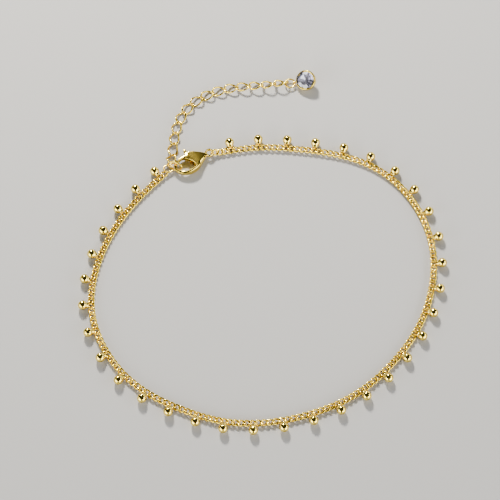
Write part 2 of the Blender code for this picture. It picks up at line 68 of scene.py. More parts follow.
def add(tree, kind, settings=None, **links):
    """Adds a node. A link's name is its socket, with underscores for spaces, or the letter i and the socket's
    number. Its value is an output, a number or a colour."""
    node = tree.nodes.new(kind)
    for key, value in (settings or {}).items():
        setattr(node, key, value)
    for key, value in links.items():
        by_number = key[0] == "i" and key[1:].isdigit()
        socket = node.inputs[int(key[1:]) if by_number else key.replace("_", " ")]
        if isinstance(value, bpy.types.NodeSocket):
            tree.links.new(value, socket)
        else:
            socket.default_value = value
    return node


def new_material(name):
    """An empty node material, its node tree and its shader."""
    material = bpy.data.materials.new(name)
    material.use_nodes = True
    tree = material.node_tree
    return material, tree, tree.nodes["Principled BSDF"]


# %% [markdown]
# ## Polished gold plate
#
# The anklet is brass wire and castings under a thin layer of yellow gold. Tumbling in steel shot polishes it,
# which leaves a mirror with very faint waves and pits rather than a perfect one. So the metal is fully
# metallic with a low roughness, a soft noise moves the roughness a little, and a fine bump bends the
# reflections. Plate is a shade redder where it is thin, so the colour drifts between two close golds.

# %% Gold plate material
RIPPLE_SIZE = 0.45 * MM
RIPPLE_DEPTH = 0.02 * MM


def gold_plate(name, light, deep, roughness, grain_mm, wave):
    """Tumbled gold plate: colour drifts from light to deep over grain_mm, and wave is the bump's strength."""
    material, tree, shader = new_material(name)
    spot = add(tree, "ShaderNodeTexCoord").outputs["Object"]
    grain = add(tree, "ShaderNodeTexNoise", Vector=spot, Scale=1 / (grain_mm * MM), Detail=3.0)
    drift = grain.outputs["Fac"]
    blend = add(tree, "ShaderNodeMix", {"data_type": "RGBA"}, Factor=drift, i6=linear(light), i7=linear(deep))
    tree.links.new(blend.outputs[2], shader.inputs["Base Color"])
    rough = add(tree, "ShaderNodeMapRange", Value=drift, To_Min=roughness * 0.7, To_Max=roughness * 1.4)
    tree.links.new(rough.outputs["Result"], shader.inputs["Roughness"])
    ripple = add(tree, "ShaderNodeTexNoise", Vector=spot, Scale=1 / RIPPLE_SIZE, Detail=2.0).outputs["Fac"]
    bump = add(tree, "ShaderNodeBump", Height=ripple, Strength=wave, Distance=RIPPLE_DEPTH)
    tree.links.new(bump.outputs["Normal"], shader.inputs["Normal"])
    shader.inputs["Metallic"].default_value = 1.0
    return material


# Drawn wire keeps the marks of its die, spun balls are the smoothest, and cast pieces keep faint waves.
WIRE_GOLD = gold_plate("tumbled_gold_plated_wire", "#FBDC4C", "#EFC93C", 0.17, 1.6, 0.20)
BALL_GOLD = gold_plate("polished_gold_plated_balls", "#FDE36A", "#F4D458", 0.09, 2.4, 0.12)
CAST_GOLD = gold_plate("polished_gold_plated_castings", "#FCE066", "#F0CC4E", 0.14, 2.0, 0.28)
print("gold finishes", [m.name for m in (WIRE_GOLD, BALL_GOLD, CAST_GOLD)])

# %% [markdown]
# ## The clear stone
#
# The stone is cubic zirconia or lead crystal: clear, with a high refractive index that throws light back
# from its cut faces. Light that reaches the back of a cheap stone meets a thin silver foil. So the front
# faces get glass, and the faces of the pavilion, behind the stone, get the foil's mirror.


# %% Stone materials
def plain_material(name, colour, **settings):
    """One even colour. Each setting is a shader socket's name, with underscores for spaces."""
    material, _, shader = new_material(name)
    shader.inputs["Base Color"].default_value = linear(colour)
    for key, value in settings.items():
        shader.inputs[key.replace("_", " ")].default_value = value
    return material


# Cut and polished on a wheel, so without any roughness.
CRYSTAL = plain_material("cut_crystal", "#F7FAFF", Roughness=0.0, IOR=2.0, Transmission_Weight=1.0)
# Silver deposited on the cut back, a little grey and soft.
FOIL = plain_material("silver_foil_back", "#E6E2EC", Metallic=1.0, Roughness=0.20)
print("stone finishes", CRYSTAL.name, FOIL.name)

# %% [markdown]
# ## Arrays into meshes
#
# A piece is a list of points and a list of faces. Each one rides on a body of the solid model, says which of
# its finishes it wears, and names the solid that it replaces.


# %% Pieces
def new_object(name, data):
    """An object of a mesh, a light or a camera, linked to the scene."""
    made = bpy.data.objects.new(name, data)
    bpy.context.scene.collection.objects.link(made)
    return made


def finish_piece(piece, body=BODY, replaces=()):
    """A piece moves with its body and replaces its solids."""
    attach(piece, body)
    if replaces:
        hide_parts(*replaces)


def make_piece(name, points, faces, material, replaces):
    """Points (..., 3) in millimetres and faces as index rows become one smooth object of the anklet."""
    mesh = bpy.data.meshes.new(name)
    mesh.from_pydata((np.asarray(points).reshape(-1, 3) * MM).tolist(), [], faces)
    mesh.validate()
    mesh.shade_smooth()
    mesh.materials.append(material)
    piece = new_object(name, mesh)
    finish_piece(piece, replaces=replaces)
    return piece


# %% [markdown]
# ## Wire
#
# Nearly everything here is a closed tube: rings of points carried along a path, the last ring joined to the
# first one. A curve with a bevel would give the same tube, but index arrays for the faces let one call build
# one link, or all the links of the chain.


# %% Wire and its faces
def torus_faces(around, across, copies=1):
    """Quads of a closed grid: ring i joins ring i + 1, and point j joins point j + 1, both wrapping round."""
    i, j = np.meshgrid(np.arange(around), np.arange(across), indexing="ij")
    ni = (i + 1) % around
    nj = (j + 1) % across
    quads = np.stack((i * across + j, ni * across + j, ni * across + nj, i * across + nj), axis=-1)
    steps = np.arange(copies)[:, None, None] * around * across
    return (quads.reshape(1, -1, 4) + steps).reshape(-1, 4).tolist()


def unit(vectors):
    """Vectors (..., 3), each divided by its own length."""
    return vectors / np.linalg.norm(vectors, axis=-1, keepdims=True)


def wire_along(line, wire, across):
    """A round wire on closed lines (..., n, 3): each point gets a circle of half the wire's thickness in the
    plane across the line, measured from the direction away from the line's own middle."""
    along = unit(np.roll(line, -1, axis=-2) - np.roll(line, 1, axis=-2))
    away = line - line.mean(axis=-2, keepdims=True)
    out = unit(away - (away * along).sum(-1, keepdims=True) * along)
    side = np.cross(along, out)
    turn = (np.arange(across) + 0.5) * 2 * math.pi / across
    circle = np.cos(turn)[:, None] * out[..., None, :] + np.sin(turn)[:, None] * side[..., None, :]
    return line[..., None, :] + wire / 2 * circle


def place(points, matrix):
    """Points moved by a 4 x 4 matrix."""
    matrix = np.array(matrix)
    return points @ matrix[:3, :3].T + matrix[:3, 3]


# %% [markdown]
# ## Where the chain lies
#
# The chain lies as it was dropped: one smooth curve through a few given points, from the clasp's eye
# clockwise round to the ring at the other end. A natural cubic spline bends evenly through them, and steps
# of equal length along it give each link its place and heading.

# %% Chain route
CHAIN_ROUTE = [
    (-11.2, 24.6), (-1.0, 26.2), (8.5, 25.7), (17.6, 24.1), (26.7, 20.0), (34.5, 11.0), (38.1, -1.1),
    (37.3, -11.3), (33.8, -20.9), (28.0, -29.2), (20.4, -36.2), (11.5, -40.7), (1.7, -43.1), (-8.4, -43.0),
    (-18.5, -39.8), (-27.4, -34.7), (-35.4, -24.7), (-38.1, -16.3), (-37.7, -6.4), (-34.3, 3.5),
    (-28.4, 12.7), (-22.40, 19.30),
]
LINE_SAMPLES = 6000


def length_so_far(line):
    """The distance along a line (n, 2) from its start to each of its points."""
    return np.concatenate(([0], np.cumsum(np.linalg.norm(np.diff(line, axis=0), axis=1))))


def spline(points):
    """Natural cubic spline: the bend (second derivative) at each point makes the slopes meet, and is zero at
    both ends. Returns a dense line and its length so far at every point of it."""
    points = np.asarray(points, float)
    knots = length_so_far(points)
    h = np.diff(knots)
    n = len(knots)
    matrix = np.eye(n)
    right = np.zeros((n, 2))
    inner = np.arange(1, n - 1)
    matrix[inner, inner - 1] = h[:-1]
    matrix[inner, inner] = 2 * (h[:-1] + h[1:])
    matrix[inner, inner + 1] = h[1:]
    slopes = np.diff(points, axis=0) / h[:, None]
    right[1:-1] = 6 * np.diff(slopes, axis=0)
    bend = np.linalg.solve(matrix, right)
    t = np.linspace(0, knots[-1], LINE_SAMPLES)
    k = np.clip(np.searchsorted(knots, t, side="right") - 1, 0, n - 2)
    a = (knots[k + 1] - t)[:, None]
    b = (t - knots[k])[:, None]
    w = h[k][:, None]
    line = (bend[k] * a ** 3 + bend[k + 1] * b ** 3) / (6 * w)
    line += (points[k] / w - bend[k] * w / 6) * a + (points[k + 1] / w - bend[k + 1] * w / 6) * b
    return line, length_so_far(line)


def along_line(line, length, at):
    """Places (n, 2) and headings at distances along a dense line; beyond its ends it runs straight on."""
    slope = np.gradient(line, axis=0)
    inside = np.clip(at, 0, length[-1])
    spot = np.stack([np.interp(inside, length, line[:, j]) for j in (0, 1)], axis=-1)
    heading = np.arctan2(np.interp(inside, length, slope[:, 1]), np.interp(inside, length, slope[:, 0]))
    beyond = (at - inside)[:, None]
    return spot + beyond * np.stack((np.cos(heading), np.sin(heading)), axis=-1), heading


chain_line, chain_length = spline(CHAIN_ROUTE)
print(f"chain route {chain_length[-1]:.1f} mm")

# %% [markdown]
# ## Steps along the chain
#
# The balls are soldered on at even steps, five links apart. A chain that was dropped lies stretched here and
# loose there, so each ball is a little ahead of its even step. A short list says by how much.

# %% Places of charms and links
CHARM_COUNT = 35
LINKS_PER_CHARM = 5
FIRST_CHARM_AT = 3.7
LAST_CHARM_BEFORE = 2.1
# Each charm's number, and how far ahead of an even step it lies.
CHARM_DRIFT = [
    (1, 0.22), (5, 0.85), (6.5, 0.75), (9, 0.40), (11.5, 0.75), (14.5, 0.10), (19, 0.08), (21, 0.44),
    (22, 0.42), (23.2, 0.05), (24.5, 0.05), (29, 0.90), (35, 0.65),
]
charm_step = (chain_length[-1] - FIRST_CHARM_AT - LAST_CHARM_BEFORE) / (CHARM_COUNT - 1)
link_pitch = charm_step / LINKS_PER_CHARM


def chain_at(charm_number):
    """The distance along the chain of a charm, or of a link that is numbered as a part of a charm's step."""
    return FIRST_CHARM_AT + (charm_number - 1) * charm_step + np.interp(charm_number, *zip(*CHARM_DRIFT))


print(f"{CHARM_COUNT} charms, {charm_step:.2f} mm apart, link pitch {link_pitch:.3f} mm")

# %% [markdown]
# ## The curb chain
#
# A curb link is an oval of wire whose two ends are twisted opposite ways, so that linked ones lie flat and
# side by side. Its line is x = a cos t, with an across value b sin t that turns about the length by an angle
# in proportion to x. With 50 degrees each way, neighbours touch but do not cut. There are about 175 links in
# all, so each has only 14 by 6 faces and all of them are one mesh.

# %% One link and its copies
LINK_WIRE = 0.45
LINK_WIDTH = 1.68
LINK_TWIST = math.radians(-50)
LINK_OVERLAP = 0.04
LINK_POINTS = 14
LINK_SIDES = 6


def link_line(half_length, half_width, twist, count, fullness=2.0):
    """x = a cos t and y = b sin t, each drawn towards its end by the fullness, then turned about X by
    twist * x / a."""
    t = np.arange(count) * 2 * math.pi / count
    power = 2 / fullness
    x = half_length * np.sign(np.cos(t)) * np.abs(np.cos(t)) ** power
    y = half_width * np.sign(np.sin(t)) * np.abs(np.sin(t)) ** power
    turn = twist * x / half_length
    return np.stack((x, y * np.cos(turn), y * np.sin(turn)), axis=-1)


def rotations(headings, rolls, rises=0.0):
    """One rotation matrix for each link: X along its heading and rise, Y to its left, then rolled about X."""
    heading, roll, rise = np.broadcast_arrays(headings, rolls, rises)
    x = np.stack((np.cos(heading) * np.cos(rise), np.sin(heading) * np.cos(rise), np.sin(rise)), axis=-1)
    left = np.stack((-np.sin(heading), np.cos(heading), np.zeros_like(heading)), axis=-1)
    up = np.cross(x, left)
    y = np.cos(roll)[:, None] * left + np.sin(roll)[:, None] * up
    return np.stack((x, y, np.cross(x, y)), axis=-1)


def copies_of(shape, turns, centres):
    """A shape (a, b, 3), turned by each matrix (n, 3, 3) and moved to each place (n, 3)."""
    return np.einsum("nij,abj->nabi", turns, shape) + centres[:, None, None, :]


half_length = (link_pitch + LINK_WIRE) / 2 + LINK_OVERLAP
half_width = (LINK_WIDTH - LINK_WIRE) / 2
one_link = wire_along(link_line(half_length, half_width, LINK_TWIST, LINK_POINTS), LINK_WIRE, LINK_SIDES)
print(f"one link {2 * half_length + LINK_WIRE:.2f} mm long, {LINK_POINTS * LINK_SIDES} faces")

# %% [markdown]
# The links lie flat, with a small random roll each, as a tumbled chain does. At the clasp the chain climbs to
# the eye and its first links turn on edge to pass through it, and at the other end it climbs to its ring.

# %% Curb chain
LYING_HEIGHT = 0.49
CLIMB_TO_EYE = 0.48
CLIMB_TO_RING = 0.12
CLIMB_REACH = 1.6
ROLL_AT_EYE = 55
ROLL_REACH = 1.3
ROLL_WOBBLE = 2.2


def chain_height(at):
    """The lying height, and a climb that fades by exp(-distance / reach) from each end of the chain."""
    to_eye = CLIMB_TO_EYE * np.exp(-np.clip(at, 0, None) / CLIMB_REACH)
    to_ring = CLIMB_TO_RING * np.exp(-(chain_length[-1] - at) / CLIMB_REACH)
    return LYING_HEIGHT + to_eye + to_ring


# More links than are needed, from the clasp's eye on; those past the chain's end are left out.
link_at = chain_at(1 + np.arange(-3, 200) / LINKS_PER_CHARM)
link_at = link_at[link_at < chain_length[-1] + 0.5]
link_count = len(link_at)
spots, headings = along_line(chain_line, chain_length, link_at)
rolls = np.radians(np.random.default_rng(7).normal(0, ROLL_WOBBLE, link_count))
rolls += np.radians(ROLL_AT_EYE) * np.exp(-np.clip(link_at, 0, None) / ROLL_REACH)
links = copies_of(one_link, rotations(headings, rolls), np.column_stack((spots, chain_height(link_at))))
curb_chain = make_piece("curb_chain", links, torus_faces(LINK_POINTS, LINK_SIDES, link_count), WIRE_GOLD,
                        replaces=("main_chain",))
print(f"curb chain {link_count} links, faces {len(curb_chain.data.polygons)}")

# %% [markdown]
# ## Ball charms
#
# Each charm is a polished ball soldered to the outside of a link by a short, flared neck. The profile is an
# arc of a circle that runs into a fillet, turned round the axis that points from the ball's middle down at
# the chain. The ball rests on the surface, so its middle is one radius up and the axis tilts a little.

# %% Ball charm's shape
BALL_RADIUS = 1.05
BALL_SIDES = 24
NECK_RADIUS = 0.675
# The neck's rings: distance from the ball's middle, and share of the neck's radius.
NECK_ROWS = [(0.84, 1.0), (0.95, 0.94), (1.08, 0.91), (1.19, 0.90), (1.25, 0.82)]


def charm_profile():
    """Distance along the axis and radius: an arc from the far pole, a short taper, and the end's corner."""
    root = math.asin(NECK_RADIUS * 1.06 / BALL_RADIUS)
    arc = np.linspace(math.pi, root, 15)[1:]
    rows = np.array(NECK_ROWS)
    along = np.concatenate((BALL_RADIUS * np.cos(arc), rows[:, 0]))
    radius = np.concatenate((BALL_RADIUS * np.sin(arc), NECK_RADIUS * rows[:, 1]))
    return along, radius


def turned(along, radius, sides):
    """A profile turned about X: each of its points becomes a ring of that radius."""
    turn = np.arange(sides) * 2 * math.pi / sides
    rings = np.stack((np.broadcast_to(along[:, None], (len(along), sides)),
                      radius[:, None] * np.cos(turn), radius[:, None] * np.sin(turn)), axis=-1)
    return rings.reshape(-1, 3)


def turned_faces(rings, sides):
    """Quads between rings, and one many-sided cap at each end."""
    i, j = np.meshgrid(np.arange(rings - 1), np.arange(sides), indexing="ij")
    nj = (j + 1) % sides
    quads = np.stack((i * sides + j, i * sides + nj, (i + 1) * sides + nj, (i + 1) * sides + j), axis=-1)
    caps = [list(range(sides))[::-1], list(range((rings - 1) * sides, rings * sides))]
    return quads.reshape(-1, 4).tolist() + caps


profile_along, profile_radius = charm_profile()
charm_points = turned(profile_along, profile_radius, BALL_SIDES)
charm_faces = turned_faces(len(profile_along), BALL_SIDES)
print(f"ball charm {len(charm_points)} points, {len(charm_faces)} faces")

# %% Ball charms round the chain
CHAIN_RADIUS = 0.7
NECK_LENGTH = 0.2
reach = BALL_RADIUS + NECK_LENGTH + CHAIN_RADIUS
tilt = math.asin((BALL_RADIUS - CHAIN_RADIUS) / reach)
across = reach * math.cos(tilt)
charm_spots, charm_headings = along_line(chain_line, chain_length, chain_at(1 + np.arange(CHARM_COUNT)))
for k, ((x, y), heading) in enumerate(zip(charm_spots, charm_headings)):
    outward = heading + math.pi / 2
    centre = (x + across * math.cos(outward), y + across * math.sin(outward), BALL_RADIUS)
    turn = Matrix.Rotation(outward + math.pi, 4, "Z") @ Matrix.Rotation(tilt, 4, "Y")
    points = place(charm_points, Matrix.Translation(centre) @ turn)
    number = f"{k + 1:02d}"
    make_piece(f"polished_ball_{number}", points, charm_faces, BALL_GOLD,
               replaces=(f"ball_charm_{number}",))
print(f"{CHARM_COUNT} ball charms, tilted {math.degrees(tilt):.0f} degrees")

# %% [markdown]
# ## The extender chain
#
# The extender is the same kind of chain, larger and opener, so that the claw can be hooked into any of its
# links. Fourteen links lie on the surface. The first ones, at the drop, roll up towards their edge where the
# weight of the stone turns them, and the last one climbs over the chain's ring.

# %% Extender's lying links
EXTENDER_ROUTE = [
    (4.28, 43.35), (-1.8, 42.7), (-7.3, 42.1), (-13.0, 40.2), (-17.4, 36.7), (-19.9, 31.5), (-20.7, 25.9),
    (-21.081, 22.776),
]
EXTENDER_LINKS = 14
EXTENDER_WIRE = 0.40
EXTENDER_WIDTH = 2.5
EXTENDER_TWIST = math.radians(-45)
EXTENDER_FULLNESS = 2.15
EXTENDER_CLEARANCE = 0.03
FIRST_LINK_ROLL = math.radians(36)
ROLLED_LINKS = 4.5
LAST_LINK_RISE = math.radians(27)
OPEN_LINK_POINTS = 32
OPEN_LINK_SIDES = 10

extender_line, extender_length = spline(EXTENDER_ROUTE)
extender_pitch = extender_length[-1] / (EXTENDER_LINKS - 1)
open_half_length = (extender_pitch + EXTENDER_WIRE) / 2 - EXTENDER_CLEARANCE
open_half_width = (EXTENDER_WIDTH - EXTENDER_WIRE) / 2
open_link = link_line(open_half_length, open_half_width, EXTENDER_TWIST, OPEN_LINK_POINTS, EXTENDER_FULLNESS)
open_wire = wire_along(open_link, EXTENDER_WIRE, OPEN_LINK_SIDES)
numbers = np.arange(EXTENDER_LINKS)
spots, headings = along_line(extender_line, extender_length, numbers * extender_pitch)
rolls = FIRST_LINK_ROLL * np.clip(1 - numbers / ROLLED_LINKS, 0, None)
rises = np.where(numbers == EXTENDER_LINKS - 1, LAST_LINK_RISE, 0.0)
centres = np.column_stack((spots, np.zeros(EXTENDER_LINKS)))
open_links = copies_of(open_wire, rotations(headings, rolls, rises), centres)
# Each link drops until its own lowest point rests on the surface.
open_links[..., 2] -= open_links[..., 2].min(axis=(1, 2))[:, None, None]
print(f"extender {EXTENDER_LINKS} lying links, pitch {extender_pitch:.2f} mm")

# %% [markdown]
# The fifteenth link is the one in the claw. It has no twist and stands nearly upright.

# %% Hooked link
HOOKED_LINK_PLACE = (-20.171, 20.916, 1.15)
HOOKED_LINK_HEADING = math.radians(-18)
HOOKED_LINK_LEAN = math.radians(26)

upright = Matrix.Rotation(math.pi / 2 - HOOKED_LINK_LEAN, 4, "X")
hooked_matrix = (Matrix.Translation(HOOKED_LINK_PLACE)
                 @ (Matrix.Rotation(HOOKED_LINK_HEADING, 4, "Z") @ upright))
plain_link = link_line(open_half_length, open_half_width, 0, OPEN_LINK_POINTS)
hooked = place(wire_along(plain_link, EXTENDER_WIRE, OPEN_LINK_SIDES), hooked_matrix)
all_links = np.concatenate((open_links.reshape(-1, 3), hooked.reshape(-1, 3)))
make_piece("extender_links", all_links, torus_faces(OPEN_LINK_POINTS, OPEN_LINK_SIDES, EXTENDER_LINKS + 1),
           WIRE_GOLD, replaces=("extender_chain",))
print(f"hooked link leans {math.degrees(HOOKED_LINK_LEAN):.0f} degrees")

# %% [markdown]
# ## Jump rings
#
# A jump ring is a plain circle of wire, cut once and closed. One joins the chain's end to the hooked link,
# and one joins the extender to the drop. Each is a torus: a circle of circles.

# %% Jump ring at the chain's end
RING_WIRE = 0.34
RING_POINTS = 40
RING_SIDES = 12
CHAIN_RING_RADIUS = 1.05
CHAIN_RING_PLACE = (-21.661, 20.506, 0.66)
CHAIN_RING_TILT = math.radians(-6)


def ring_points(radius, wire, matrix, around, across):
    """A circle x = r cos t, y = r sin t with round wire on it, moved by a matrix."""
    t = np.arange(around) * 2 * math.pi / around
    circle = np.stack((radius * np.cos(t), radius * np.sin(t), np.zeros(around)), axis=-1)
    return place(wire_along(circle, wire, across), matrix)


def make_jump_ring(name, radius, matrix, replaces):
    """One closed ring of the jump rings' wire, moved by a matrix."""
    points = ring_points(radius, RING_WIRE, matrix, RING_POINTS, RING_SIDES)
    make_piece(name, points, torus_faces(RING_POINTS, RING_SIDES), WIRE_GOLD, replaces)


chain_ring = Matrix.Translation(CHAIN_RING_PLACE) @ Matrix.Rotation(CHAIN_RING_TILT, 4, "X")
make_jump_ring("jump_ring_at_chain_end", CHAIN_RING_RADIUS, chain_ring, ("chain_jump_ring",))
print("chain ring centre", CHAIN_RING_PLACE)

# %% [markdown]
# ## The drop
#
# The stone sits in a bezel: a round cup whose rim is rubbed over the stone's edge. Its profile is turned like
# a pot on a wheel. A small soldered ear stands at its side, and the ring through the ear joins the extender.
# The ring holds the drop up on one edge, so that it leans towards the extender and the viewer.

# %% Drop's sizes and place
STONE_RADIUS = 2.05
STONE_GIRDLE = 0.1
STONE_CROWN = 0.45
STONE_PAVILION = 0.65
STONE_GAP = 0.03
BEZEL_HEIGHT = 1.3
BEZEL_OUTSIDE = 2.32
BEZEL_LIP = 0.12
BEZEL_FLOOR = 0.25
BEZEL_SIDES = 72
RIM_ROUNDING = 0.16
GIRDLE_LOW = BEZEL_HEIGHT - STONE_GIRDLE - BEZEL_LIP - STONE_GAP
TILT_TO_FRONT = math.radians(22)
TILT_TO_LEFT = math.radians(18)

drop_tilt = Matrix.Rotation(TILT_TO_FRONT, 4, "X") @ Matrix.Rotation(-TILT_TO_LEFT, 4, "Y")
drop_lift = BEZEL_OUTSIDE * math.sqrt(1 - (drop_tilt @ Vector((0, 0, 1))).z ** 2)
DROP = Matrix.Translation((10.22, 43.85, drop_lift)) @ drop_tilt
print(f"drop's back centre is {drop_lift:.2f} mm up")


# %% Bezel and ear
def bezel_profile():
    """Height and radius round the cup's wall: up the outside, over the rounded rim, down the inside, and the
    floor. The rim's corner is an arc."""
    foot = [(0.0, BEZEL_OUTSIDE - 0.10), (0.05, BEZEL_OUTSIDE - 0.03), (0.14, BEZEL_OUTSIDE)]
    arc = np.linspace(0, math.pi / 2, 6)
    rim = [(BEZEL_HEIGHT - RIM_ROUNDING + RIM_ROUNDING * math.sin(a),
            BEZEL_OUTSIDE - RIM_ROUNDING + RIM_ROUNDING * math.cos(a)) for a in arc]
    seat = STONE_RADIUS + STONE_GAP
    inner = [(BEZEL_HEIGHT - 0.01, seat - BEZEL_LIP + 0.04), (BEZEL_HEIGHT - 0.05, seat - BEZEL_LIP),
             (GIRDLE_LOW + STONE_GIRDLE + STONE_GAP, seat), (BEZEL_FLOOR, seat),
             (BEZEL_FLOOR, seat * 0.5), (0.0, seat * 0.5)]
    return np.array(foot + rim + inner)


EAR_HEADING = math.radians(188)
EAR_WIRE = 0.28
EAR_RADIUS = 0.46
EAR_POINTS = 28
EAR_SIDES = 10

turn = np.arange(BEZEL_SIDES) * 2 * math.pi / BEZEL_SIDES
profile = bezel_profile()
bezel = np.stack((np.cos(turn)[:, None] * profile[:, 1], np.sin(turn)[:, None] * profile[:, 1],
                  np.broadcast_to(profile[:, 0], (BEZEL_SIDES, len(profile)))), axis=-1)
bezel_points = place(bezel, DROP).reshape(-1, 3)
ear_at = BEZEL_OUTSIDE + EAR_RADIUS - 0.02
ear_place = Matrix.Rotation(EAR_HEADING, 4, "Z") @ Matrix.Translation((ear_at, 0, BEZEL_HEIGHT / 2))
ear_matrix = DROP @ ear_place @ Matrix.Rotation(math.pi / 2, 4, "X")
ear_points = ring_points(EAR_RADIUS, EAR_WIRE, ear_matrix, EAR_POINTS, EAR_SIDES).reshape(-1, 3)
ear_faces = (np.array(torus_faces(EAR_POINTS, EAR_SIDES)) + len(bezel_points)).tolist()
drop_bezel = make_piece("stone_bezel", np.concatenate((bezel_points, ear_points)),
                        torus_faces(BEZEL_SIDES, len(profile)) + ear_faces, CAST_GOLD,
                        replaces=("drop_bezel",))
drop_bezel.data.set_sharp_from_angle(angle=math.radians(50))
print(f"bezel {len(drop_bezel.data.polygons)} faces with its ear")

# %% Jump ring at the drop
DROP_RING_RADIUS = 1.13
DROP_RING_FALL = 0.5

ear_centre = DROP @ ear_place @ Vector((0, 0, 0))
lean = math.asin(max(0.0, ear_centre.z - RING_WIRE / 2 - DROP_RING_FALL) / (2 * DROP_RING_RADIUS))
ring_turn = Matrix.Rotation(EAR_HEADING, 4, "Z") @ Matrix.Rotation(lean, 4, "Y")
ring_centre = ear_centre + ring_turn @ Vector((DROP_RING_RADIUS, 0, 0))
make_jump_ring("jump_ring_at_drop", DROP_RING_RADIUS, Matrix.Translation(ring_centre) @ ring_turn,
               ("drop_jump_ring",))
print("drop ring centre", [round(v, 2) for v in ring_centre])

# %% [markdown]
# ## Cutting the stone
#
# A cutter grinds one flat after another on a blank. The same can be done here: the blank is a short round
# prism, and each facet is a plane that slices it and closes the cut. A round brilliant has a table, eight
# stars, eight kites and sixteen upper halves above the girdle, and below it eight mains and sixteen lower
# halves.


# %% Facets
def slice_off(bm, point, normal):
    """Cuts away what lies beyond a plane, and closes the hole with one flat face."""
    cut = bmesh.ops.bisect_plane(bm, geom=list(bm.verts) + list(bm.edges) + list(bm.faces), dist=1e-6,
                                 plane_co=point, plane_no=normal, clear_outer=True)
    edges = [e for e in cut["geom_cut"] if isinstance(e, bmesh.types.BMEdge)]
    if edges:
        bmesh.ops.contextual_create(bm, geom=edges)


def facet_ring(bm, count, offset, radius, height, slope, sign):
    """Facets at equal angles through a circle of that radius and height, each tilted by its slope, upwards
    where the sign is 1 and downwards where it is -1."""
    for k in range(count):
        a = 2 * math.pi * (k + offset) / count
        outward = Vector((math.cos(a), math.sin(a), 0))
        slice_off(bm, outward * radius + Vector((0, 0, height)),
                  outward * math.sin(slope) + Vector((0, 0, sign * math.cos(slope))))


# %% Round brilliant
CROWN_SPAN_SHARE = 0.42
UPPER_HALVES_SHARE = 1.22
STARS_CIRCLE_SHARE = 0.60
STARS_SHARE = 0.60
LOWER_HALVES_SHARE = 1.30

girdle_top = GIRDLE_LOW + STONE_GIRDLE
blank_middle = Matrix.Translation((0, 0, GIRDLE_LOW + (STONE_CROWN + STONE_GIRDLE - STONE_PAVILION) / 2))
blank = bmesh.new()
bmesh.ops.create_cone(blank, cap_ends=True, segments=64, radius1=STONE_RADIUS, radius2=STONE_RADIUS,
                      depth=STONE_PAVILION + STONE_GIRDLE + STONE_CROWN, matrix=blank_middle)
crown = math.atan2(STONE_CROWN, STONE_RADIUS * CROWN_SPAN_SHARE)
pavilion = math.atan2(STONE_PAVILION, STONE_RADIUS)
stars_radius = STONE_RADIUS * STARS_CIRCLE_SHARE
# Kites, upper halves and stars above the girdle, then mains and lower halves below it.
facet_ring(blank, 8, 0.0, STONE_RADIUS, girdle_top, crown, 1)
facet_ring(blank, 16, 0.5, STONE_RADIUS, girdle_top, crown * UPPER_HALVES_SHARE, 1)
facet_ring(blank, 8, 0.5, stars_radius, girdle_top + STONE_CROWN, crown * STARS_SHARE, 1)
facet_ring(blank, 8, 0.0, STONE_RADIUS, GIRDLE_LOW, pavilion, -1)
facet_ring(blank, 16, 0.5, STONE_RADIUS, GIRDLE_LOW, pavilion * LOWER_HALVES_SHARE, -1)
bmesh.ops.recalc_face_normals(blank, faces=blank.faces)
bmesh.ops.transform(blank, matrix=DROP, verts=blank.verts)
bmesh.ops.scale(blank, vec=(MM, MM, MM), verts=blank.verts)
stone_mesh = bpy.data.meshes.new("round_brilliant")
blank.to_mesh(stone_mesh)
blank.free()
stone_mesh.shade_flat()
stone_mesh.materials.append(CRYSTAL)
stone_mesh.materials.append(FOIL)
# Faces that look down, along the drop's own axis, are the foiled ones.
down = DROP.to_3x3() @ Vector((0, 0, -1))
for face in stone_mesh.polygons:
    face.material_index = 1 if face.normal.dot(down) > 0.3 else 0
stone = new_object("round_brilliant", stone_mesh)
finish_piece(stone, replaces=("drop_stone",))
print(f"stone {len(stone_mesh.polygons)} faces, crown {math.degrees(crown):.0f} degrees")

# %% [markdown]
# ## The clasp
#
# A lobster clasp is cast in one piece with a round eye at its tail. The body is a ring of metal round the
# claw's hole, wide at the tail and slim at the nose, that stops short to leave the mouth. So its surface can
# be carried round the hole: at each angle a rounded section reaches from the hole's edge to the outline.
# Both are drawn as shares of the clasp's length and half its width.

# %% Clasp outline and sizes
CLASP_REACH = 9.05
CLASP_WIDTH = 4.75
CLASP_THICKNESS = 2.0
CLASP_PLACE = (-12.3, 24.5)
CLASP_HEADING = math.radians(209.7)
CLASP = Matrix.Translation((*CLASP_PLACE, 0)) @ Matrix.Rotation(CLASP_HEADING, 4, "Z")
CLASP_OUTLINE = [
    (0.085, 0.13), (0.24, 0.55), (0.40, 0.92), (0.54, 1.07), (0.70, 1.09), (0.85, 0.91), (0.96, 0.50),
    (1.0, 0.0), (0.965, -0.40), (0.85, -0.74), (0.70, -0.92), (0.54, -0.96), (0.40, -0.82),
    (0.24, -0.49), (0.085, -0.13),
]
CLASP_HOLE = [
    (0.915, -0.15), (0.82, -0.50), (0.71, -0.63), (0.61, -0.48), (0.54, -0.04), (0.487, 0.42), (0.475, 0.70),
    (0.53, 0.83), (0.66, 0.87), (0.79, 0.77), (0.885, 0.48), (0.94, 0.14),
]
HOLE_LEVER_ROWS = 5  # how many of the hole's rows lie along the lever
SHARES = np.array((CLASP_REACH, CLASP_WIDTH / 2))
HOLE_CENTRE = np.array((0.70, 0.10)) * SHARES
PIVOT = np.array((0.431, -0.46)) * SHARES
CLAW_TIP = 0.83 * CLASP_REACH
MIDDLE = CLASP_THICKNESS / 2
ROOT_RADIUS = 0.85
LEVER_THICKNESS = 1.1
LEVER_GAP = 0.1
CHEEK_FRONT = PIVOT[0] + 0.75
print(f"clasp {CLASP_REACH} x {CLASP_WIDTH} x {CLASP_THICKNESS} mm, pivot", PIVOT.round(2))

